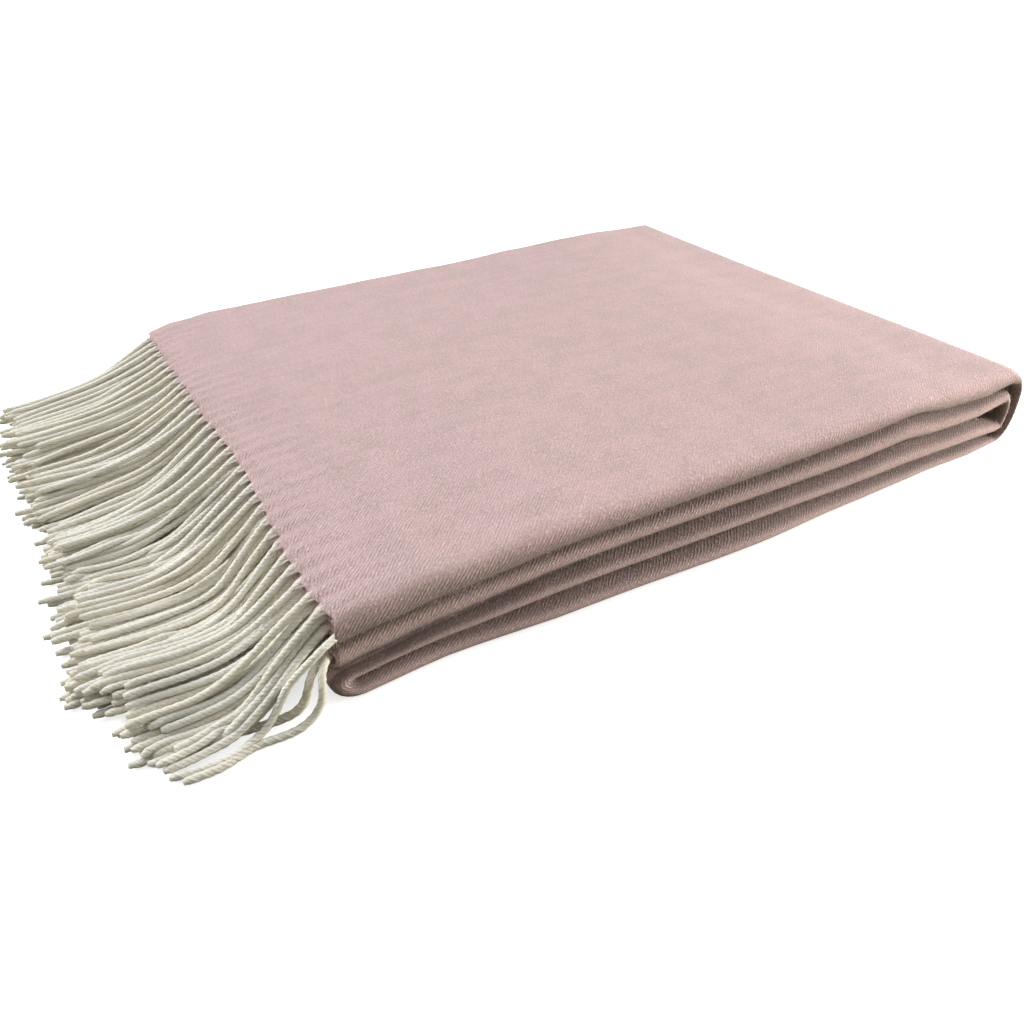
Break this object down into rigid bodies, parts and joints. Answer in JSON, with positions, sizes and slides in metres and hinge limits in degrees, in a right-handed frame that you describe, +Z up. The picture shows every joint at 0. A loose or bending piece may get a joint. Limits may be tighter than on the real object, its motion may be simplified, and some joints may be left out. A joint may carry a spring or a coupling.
{
  "type": "folded fringed wool throw blanket",
  "caption": "Woven wool throw folded into a flat rectangular stack, with rounded folds along its front and end and a twisted fringe lying out at the open end.",
  "frame": {"origin": "centre of the bounding box's underside, on the surface that the folded throw lies on", "axes": "+Z up, +X along the folded throw from its fringed end to its last fold, +Y from its rounded front edge to its selvedges"},
  "size_m": [0.4898, 0.332, 0.0464],
  "materials": {
    "wool_cloth": "softly brushed twill in dusty pink and grey-cream melange wool",
    "wool_fringe": "undyed cream wool, loosely twisted strands with a soft fuzz"
  },
  "bodies": {
    "root": {"throw_cloth": "wool_cloth", "upper_fringe": "wool_fringe", "lower_fringe": "wool_fringe"}
  },
  "joints": []
}
